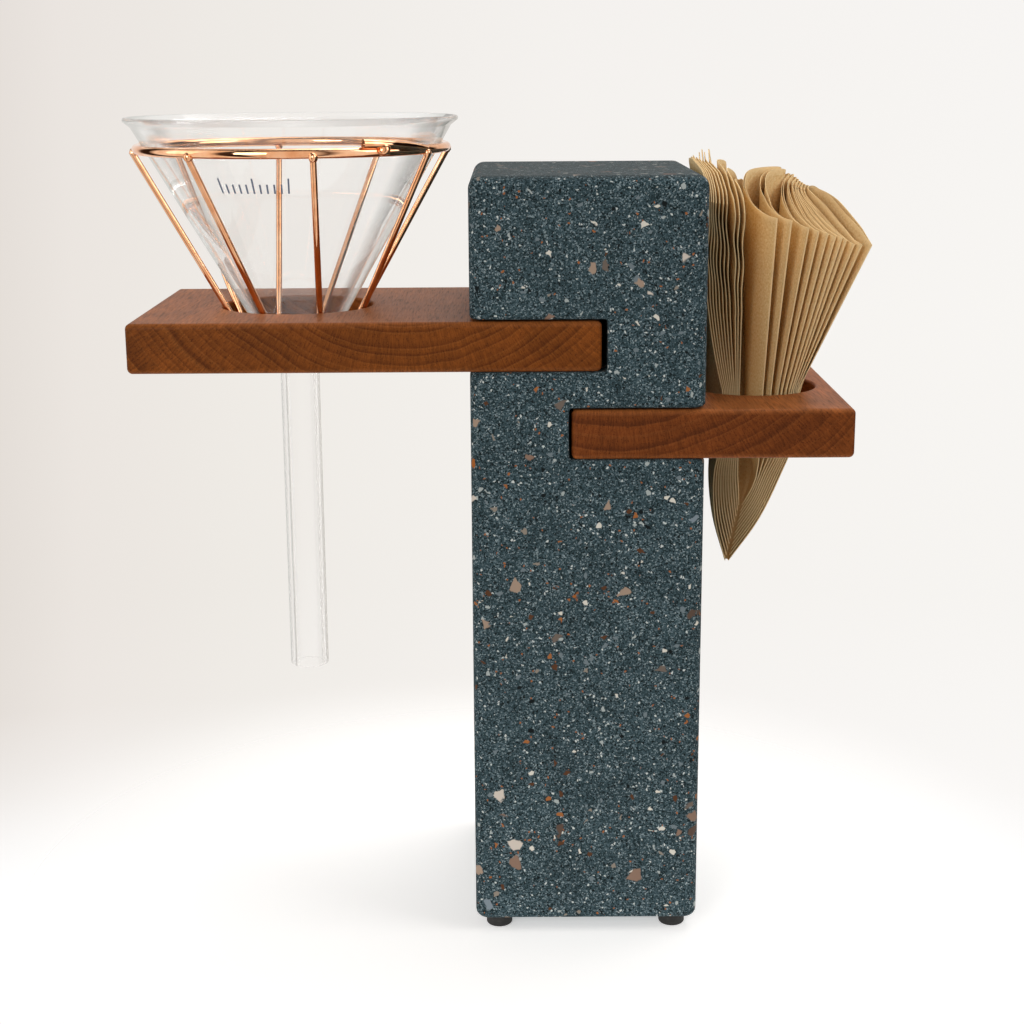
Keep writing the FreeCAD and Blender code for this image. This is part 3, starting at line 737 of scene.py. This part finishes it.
# %% Top edges of the cones
top_edges = [
    [(-16.3, -22, 221.4), (-16.2, -18, 224.3), (-16.1, -10.5, 226.8), (-16.1, -2, 228.9),
     (-16.2, 12, 230.1), (-16.3, 30, 231.2), (-16.3, 38, 230.4), (-14.7, 41.2, 227.5),
     (-6, 46.5, 219), (12.2, 48.5, 216), (23.2, 42.3, 221.3), (25.8, 36, 220.8),
     (27.2, 27.3, 220), (28.3, 16.8, 218.7), (29.3, 6.4, 216.5), (30.1, -3, 214.3),
     (31, -10, 212.2), (31.8, -15.5, 209.8), (32.3, -20, 208.1)],
    [(-15.8, -22, 221.2), (-15.6, -18, 224.2), (-15.5, -10.5, 226.7), (-15.6, -2, 228.8),
     (-15.7, 12, 230), (-15.7, 30, 231.1), (-15.6, 38, 231.1), (-14, 40.9, 227.5),
     (-5.6, 46, 219), (11.3, 47.6, 216.8), (21.8, 40.4, 221.7), (21.8, 34.3, 221),
     (22.2, 26, 219.8), (23.2, 16.1, 218.1), (24, 6.1, 216.1), (24.9, -3, 213.9),
     (26.2, -10, 211.7), (27.6, -15.5, 209.5), (29.4, -20, 208.2)],
    [(-15.2, -22, 221.1), (-15, -18, 224.1), (-14.9, -10.5, 226.6), (-15, -2, 228.7),
     (-15.1, 12, 229.9), (-15.1, 30, 231), (-15, 38, 231.6), (-13.4, 40.6, 227.5),
     (-5.2, 45.4, 219), (10.7, 46.7, 217.7), (20.6, 38.5, 222.3), (20.2, 32.6, 220.8),
     (20, 24.8, 219.1), (20.2, 15.3, 217.6), (21.2, 5.8, 215.5), (22.2, -3, 213.5),
     (23.8, -10, 211.2), (25.6, -15.5, 209.3), (27.1, -20, 208.3)],
    [(-14.6, -22, 220.9), (-14.4, -18, 224), (-14.3, -10.5, 226.6), (-14.4, -2, 228.7),
     (-14.5, 12, 229.9), (-14.3, 30, 231), (-13.9, 38, 230.9), (-12.3, 40.3, 227.5),
     (-4.7, 44.9, 219), (10.3, 45.8, 218.6), (19.6, 36.5, 222.9), (18.9, 31, 221.8),
     (18.3, 23.5, 220.4), (18.2, 14.5, 218.9), (18.7, 5.5, 217.4), (19.4, -3, 215.4),
     (21.1, -10, 213.2), (22.8, -15.5, 211.3), (24.8, -20, 209.6)],
    [(-13.9, -22, 220.8), (-13.8, -18, 223.9), (-13.7, -10.5, 226.5), (-13.7, -2, 228.6),
     (-13.8, 12, 229.8), (-13.6, 30, 230.9), (-13.1, 38, 232.6), (-11.5, 40, 227.5),
     (-4.3, 44.3, 219), (10.2, 44.9, 219.4), (19, 36.5, 223.4), (18, 31, 221.8),
     (17.2, 23.5, 220.6), (16.9, 14.5, 219.2), (17.3, 5.5, 217.5), (18.1, -3, 215.3),
     (19.6, -10, 213), (21.4, -15.5, 211.3), (23.5, -20, 210.2)],
    [(-13, -22, 220.6), (-12.8, -18, 223.8), (-12.8, -10.5, 226.4), (-12.8, -2, 228.5),
     (-12.9, 12, 229.7), (-12.7, 30, 230.8), (-12.2, 38, 233.6), (-10.6, 39.7, 227.5),
     (-3.9, 43.8, 219), (10.2, 44, 220.2), (18.4, 36.5, 224.1), (17.2, 31, 222.6),
     (16.3, 23.5, 221.4), (15.8, 14.5, 219.8), (16, 5.5, 217.7), (16.7, -3, 215.3),
     (18.1, -10, 213.1), (19.6, -15.5, 211.4), (21.5, -20, 210.4)],
    [(-12, -22, 220.4), (-11.8, -18, 223.6), (-11.8, -10.5, 226.3), (-11.8, -2, 228.4),
     (-11.9, 12, 229.6), (-11.7, 30, 230.7), (-11.4, 38, 232.7), (-9.8, 39.4, 227.5),
     (-3.5, 43.2, 219), (10.1, 43.1, 221.1), (17.8, 36.5, 224.7), (16.2, 31, 223.3),
     (15.3, 23.5, 221.6), (14.8, 14.5, 219.7), (14.7, 5.5, 217.6), (15.2, -3, 215),
     (16.3, -10, 213.1), (17.5, -15.5, 212.2), (19.3, -20, 211.5)],
    [(-11, -22, 220.3), (-10.8, -18, 223.5), (-10.8, -10.5, 226.2), (-10.8, -2, 228.3),
     (-10.9, 12, 229.5), (-10.6, 30, 230.6), (-10, 38, 233.7), (-8.4, 39.1, 227.5),
     (-3.1, 42.6, 219), (9.8, 42.2, 221.9), (17, 36.5, 225.6), (15.1, 31, 224.2),
     (13.7, 23.5, 222.7), (12.9, 14.5, 220.4), (12.8, 5.5, 218), (13.4, -3, 215.6),
     (14.2, -10, 214), (15.1, -15.5, 212.9), (16.6, -20, 212.1)],
    [(-8.6, -22, 217.2), (-8.8, -19, 221.4), (-9.3, -13, 224.8), (-9, -5, 227.2),
     (-9, 6, 229.3), (-9.4, 19, 231.1), (-5.5, 30, 230), (-3.8, 35, 225.2),
     (6.4, 40.2, 219.4), (9.2, 40.9, 222.8), (15.8, 36.5, 225.9), (13.4, 31, 224.1),
     (11.7, 23.5, 221.7), (10.7, 14.5, 219.5), (10.4, 5.5, 217.4), (10.7, -3, 215.4),
     (11.5, -10, 214.1), (12.4, -15.5, 213.4), (13.6, -20, 213.2)],
    [(-7.4, -22, 217.2), (-7.2, -18, 220.4), (-7.3, -13, 223.6), (-7.6, -7, 226.3),
     (-8.2, 1, 228.9), (-7, 10, 229.1), (-3.7, 20, 227), (-0.9, 27, 222.5),
     (5.2, 36.9, 219.9), (8.2, 40.1, 223.7), (14.2, 35.5, 226.9), (8.9, 27.5, 227.7),
     (4.6, 18, 226.3), (3, 9, 223.2), (3.4, 2, 220.6), (4.1, -4, 218.3),
     (5.5, -9.5, 216.6), (6.8, -15, 215.7), (8.5, -20, 215.4)],
    [(-5.8, -22, 217.8), (-5.8, -18, 221.6), (-6.1, -13, 224.2), (-6.3, -8, 225.5),
     (-6, 0, 226), (-4.6, 9, 225.9), (-2.7, 17, 225.1), (-1.2, 22, 225),
     (3, 30.9, 222.3), (7.6, 38.9, 224.5), (12.7, 34, 227.9), (4.7, 25, 228.4),
     (-0.5, 15, 227.6), (-2.6, 7, 224.5), (-2.3, 0.5, 221.9), (-1.3, -5, 219.3),
     (0.3, -10, 217.6), (2, -15, 216.5), (4.2, -20, 216)],
]
cone_count = len(top_edges)
print(cone_count, "cones,", len(top_edges[0]), "points along each top edge")

# %% [markdown]
# ## Level curves below the top
# The same nineteen points are followed down. At the arm the cone's U is squeezed to
# a few millimetres, but it keeps a part of the curl that its top has. Below the arm
# the U shrinks evenly to the folded point. A smooth curve through the points of one
# level gives any column of the sheet.

# %% Level curves
arm_low, arm_high = (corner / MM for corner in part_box("filter_arm"))
hole_from_tip = 25.2  # mm
hole_x = arm_high.x - hole_from_tip
right_front_at_arm = (13.6, 13.2, 12.7, 12.2, 11.7, 11.0, 10.0, 8.7, 7.5, 5.3, 2.8)
left_steps = ((0, 0), (0.17, 0.5), (0.34, 0.85), (0.51, 1), (0.68, 0.9), (0.84, 0.5), (1, -0.3))
right_steps = 8
kept_curl = 0.36  # the share of the top's curl that is left at the arm


def nest(outermost, innermost, layer):
    """A size of one cone, between the outermost's and the innermost's."""
    return outermost + (innermost - outermost) * layer / (cone_count - 1)


def arm_curve(layer, scale, spring, z):
    """The U of one cone where the arm holds it, as nineteen points.

    Its legs bow outwards by the spring, in mm for the outermost cone.
    """
    front = -10.0
    back = nest(18.8, 12.0, layer)
    left = nest(-9.6, -4.4, layer)
    right = right_front_at_arm[layer]
    back_right = nest(9.8, 3.0, layer)
    bow = nest(spring, 0.2, layer)
    points = []
    for along, out in left_steps:
        points.append((left - bow * out, front + (0.72 * back - front) * along))
    for across, along in ((0.22, 0.9), (0.5, 1.0), (0.8, 0.98)):
        points.append((left + (back_right - left) * across, back * along))
    leg = top_edges[layer][:-right_steps - 2:-1]
    corner, hidden_end = leg[0], leg[-1]
    leg_points = []
    for step, (x, y, _) in enumerate(leg):
        share = step / right_steps
        way = (y - corner[1]) / (hidden_end[1] - corner[1])
        chord = corner[0] + (hidden_end[0] - corner[0]) * way
        curl = kept_curl * (x - chord) + nest(1.1 * (spring - 1), 0.0, layer) * math.sin(math.pi * way)
        leg_points.append((right + (back_right - right) * share ** 2.2 + curl,
                           front + (0.86 * back - front) * way))
    points += leg_points[::-1]
    return [(x * scale, y * scale, z) for x, y in points]


def low_curve(left, right, front, back, z):
    """The plain, narrow U of one cone below the arm."""
    width = right - left
    points = [(left, front + (0.6 * back - front) * along) for along, _ in left_steps]
    for across, along in ((0.2, 0.88), (0.5, 1.0), (0.8, 0.9)):
        points.append((left + width * across, back * along))
    for step in range(right_steps, -1, -1):
        points.append((right, front + (0.62 * back - front) * step / right_steps))
    return [(x, y, z) for x, y in points]


def curve_at(points, share):
    """A smooth curve through points, at a share of its way (Catmull-Rom)."""
    last = len(points) - 1
    place = min(max(share, 0.0), 1.0) * last
    start = min(int(place), last - 1)
    t = place - start
    b, c = Vector(points[start]), Vector(points[start + 1])
    a = Vector(points[start - 1]) if start > 0 else 2 * b - c
    d = Vector(points[start + 2]) if start + 2 <= last else 2 * c - b
    return 0.5 * (2 * b + (c - a) * t + (2 * a - 5 * b + 4 * c - d) * t * t
                  + (3 * b - a - 3 * c + d) * t * t * t)


print("hole axis at x", round(hole_x, 2), "mm")

# %% [markdown]
# ## From curves to a sheet
# Above the arm the sheet is ruled: each column is a straight line, as paper that
# bends only one way must be. Below, each column is one smooth cubic through the
# levels. The outer left legs belly out towards the column half-way up, and all of
# them wave slightly, because paper cockles in a damp kitchen. The waves run in step
# from cone to cone, so that the nested sheets stay apart.

# %% Sheet surface
columns = 91
rows = 52
rows_below = 20
straight_probe = 45.0  # mm above the arm, where the cubic learns the straight line's slope
leg_share = 0.22  # of the sheet's width, from its left edge
belly_out = 2.4  # mm
wave_height = 0.28  # mm
wave_turns = 23.0  # radians from the arm to the top
wave_delay = 0.45  # radians from one cone to the next
spring_low = 1.0  # mm that the outermost left leg bows out at the arm's underside
spring_high = 4.0  # and at its top
squeeze_low = 0.97


def through_levels(heights, values, z):
    """A cubic through values at heights, with slopes taken from the neighbours."""
    last = len(heights) - 1
    i = 0
    while i < last - 1 and z > heights[i + 1]:
        i += 1
    slopes = []
    for j in (i, i + 1):
        low, high = max(j - 1, 0), min(j + 1, last)
        slopes.append((values[high] - values[low]) / (heights[high] - heights[low]))
    span = heights[i + 1] - heights[i]
    t = (z - heights[i]) / span
    return ((2 * t ** 3 - 3 * t * t + 1) * values[i] + (t ** 3 - 2 * t * t + t) * span * slopes[0]
            + (3 * t * t - 2 * t ** 3) * values[i + 1] + (t ** 3 - t * t) * span * slopes[1])


def cockle(layer, u, height_share):
    """How far the left legs are off the straight line, in mm: they belly out, and wave."""
    edge = max(0.0, 1.0 - u / leg_share)
    belly = belly_out * edge * max(0.0, 1.0 - layer / 8) * 4 * height_share * (1 - height_share)
    strength = wave_height * edge * min(1.0, max(0.0, height_share * 2.5 - 0.9))
    return strength * math.sin(wave_turns * height_share + wave_delay * layer) - belly


def cone_surface(layer):
    """The middle surface of one cone, as rows of points from its tip to its top."""
    tip_z = nest(107.0, 125.0, layer)
    low_z = nest(121.0, 131.0, layer)
    belly_z = 136.0
    curves = [
        low_curve(nest(-6.5, -2.6, layer), nest(-5.5, -1.6, layer), -1.0, 1.0, tip_z),
        low_curve(nest(-10.2, -3.2, layer), nest(3.2, 0.9, layer), -4.0, nest(7, 4, layer), low_z),
        low_curve(nest(-11.2, -3.9, layer), nest(9.4, 2.0, layer), -6.5, nest(13, 7.5, layer),
                  belly_z),
        arm_curve(layer, squeeze_low, spring_low, arm_low.z),
        arm_curve(layer, 1.0, spring_high, arm_high.z),
    ]
    heights = [curve[0][2] for curve in curves]
    surface = [[] for _ in range(rows)]
    for column in range(columns):
        u = column / (columns - 1)
        levels = [curve_at(curve, u) for curve in curves]
        top = curve_at(top_edges[layer], u)
        rise = top - levels[-1]
        levels.append(levels[-1] + rise * (straight_probe / rise.z))
        marks = heights + [heights[-1] + straight_probe]
        for row in range(rows):
            if row <= rows_below:
                z = tip_z + (arm_high.z - tip_z) * row / rows_below
                x = through_levels(marks, [p.x for p in levels], z)
                y = through_levels(marks, [p.y for p in levels], z)
                point = Vector((x, y, z))
            else:
                share = (row - rows_below) / (rows - 1 - rows_below)
                point = levels[-2] + rise * share
                point.x += cockle(layer, u, share)
            surface[row].append(point + Vector((hole_x, 0.0, 0.0)))
    return surface


surfaces = [cone_surface(layer) for layer in range(cone_count)]
print("each cone is", rows, "x", columns, "points")

# %% [markdown]
# ## Two plies with cut edges
# Each ply is a closed, thin shell. The plies touch along both crimped sides and
# part a little towards the open top, most of all in the outermost cone and in the
# second one from the inside. Near each crimped side the pair is pressed flat. The
# cut edges along both sides and the top are painted paler than the face, a painted
# highlight where they catch the light. A point attribute carries that, and a UV map
# in metres lets the crepe of the paper follow the bent sheet.

# %% Plies
ply = 0.11  # mm
ply_gap = 0.02  # mm, between the middle surface and each ply
sheet_width = 0.08  # metres across one cone, for the UV map
# For a cone: how far its outer and its inner ply part, in mm, and where along the edge.
partings = {0: (0.0, 2.0, 0.78), 8: (0.5, 0.0, 0.72), 9: (1.5, 0.0, 0.72), 10: (0.35, 0.0, 0.7)}
usual_parting = (0.22, 0.22, 0.78)


def outward(surface, row, column):
    """The unit normal of a sheet, towards the outside of its U."""
    below, above = max(row - 1, 0), min(row + 1, rows - 1)
    before, after = max(column - 1, 0), min(column + 1, columns - 1)
    up = surface[above][column] - surface[below][column]
    along = surface[row][after] - surface[row][before]
    return up.cross(along).normalized()


def parting(layer, side, u, v):
    """How far a ply stands off the middle surface, in mm."""
    out, inward, centre = partings.get(layer, usual_parting)
    most = out if side > 0 else inward
    lobe = math.exp(-((u - centre) / 0.13) ** 2)
    seam = min(1.0, u / 0.04, (1.0 - u) / 0.04)
    open_top = max(0.0, (v - 0.45) / 0.55) ** 2
    return ply / 2 + ply_gap + most * lobe * seam * open_top


print("each ply is", ply, "mm thick")

# %% Building a cone
def build_cone(layer, name):
    """Two closed plies of one cone as a mesh, with its UV map and its edge attribute."""
    surface = surfaces[layer]
    points, faces, uvs, edge = [], [], [], []
    for side in (1, -1):
        start = len(points)
        for face_side in (1, -1):
            for row in range(rows):
                v = row / (rows - 1)
                for column in range(columns):
                    u = column / (columns - 1)
                    normal = outward(surface, row, column)
                    offset = side * parting(layer, side, u, v) + face_side * ply / 2
                    place = surface[row][column]
                    points.append((place + normal * offset) * MM)
                    uvs.append((u * sheet_width, place.z * MM))
                    # Marks the cut edges for their painted highlight.
                    rim = column in (0, columns - 1) or row == rows - 1
                    edge.append(1.0 if rim else 0.0)
        count = rows * columns
        for row in range(rows - 1):
            for column in range(columns - 1):
                a = start + row * columns + column
                b, c, d = a + 1, a + columns + 1, a + columns
                faces.append((a, d, c, b))
                faces.append((a + count, b + count, c + count, d + count))
        for row in range(rows - 1):
            for column in (0, columns - 1):
                a = start + row * columns + column
                wall = (a, a + count, a + columns + count, a + columns)
                faces.append(wall[::-1] if column else wall)
        for column in range(columns - 1):
            for row in (0, rows - 1):
                a = start + row * columns + column
                wall = (a, a + count, a + 1 + count, a + 1)
                faces.append(wall if row else wall[::-1])
    mesh = bpy.data.meshes.new(name)
    mesh.from_pydata(points, [], faces)
    shape = bmesh.new()
    shape.from_mesh(mesh)
    bmesh.ops.recalc_face_normals(shape, faces=shape.faces)
    shape.to_mesh(mesh)
    shape.free()
    layer_uv = mesh.uv_layers.new(name="sheet")
    for loop in mesh.loops:
        layer_uv.data[loop.index].uv = uvs[loop.vertex_index]
    edge_highlight = mesh.attributes.new("cut_edge", "FLOAT", "POINT")
    edge_highlight.data.foreach_set("value", edge)
    mesh.shade_smooth()
    mesh.set_sharp_from_angle(angle=math.radians(50))
    return mesh


print("a cone can be built from", 4 * rows * columns, "points")

# %% [markdown]
# ## Placing the cones
# Ten cones lift out of the arm together, and the innermost one is the next to be
# taken, so it rides on a body of its own. Each built cone stands in for the plain
# sheet of the CAD model, which stays as its collision shape, hidden.

# %% Cones
for layer in range(cone_count):
    name = f"cone_filter_{layer + 1:02d}"
    cone_mesh = build_cone(layer, name)
    cone_mesh.materials.append(filter_paper)
    cone = put(name, cone_mesh)
    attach(cone, "next_filter" if layer == cone_count - 1 else "filter_stack")
    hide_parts(f"paper_filter_{layer + 1:02d}")
print("last cone has", len(cone_mesh.polygons), "faces")

# %% [markdown]
# ## Colour management
# The Standard view keeps each colour as it was written.

# %% Finish
bpy.context.scene.view_settings.view_transform = "Standard"
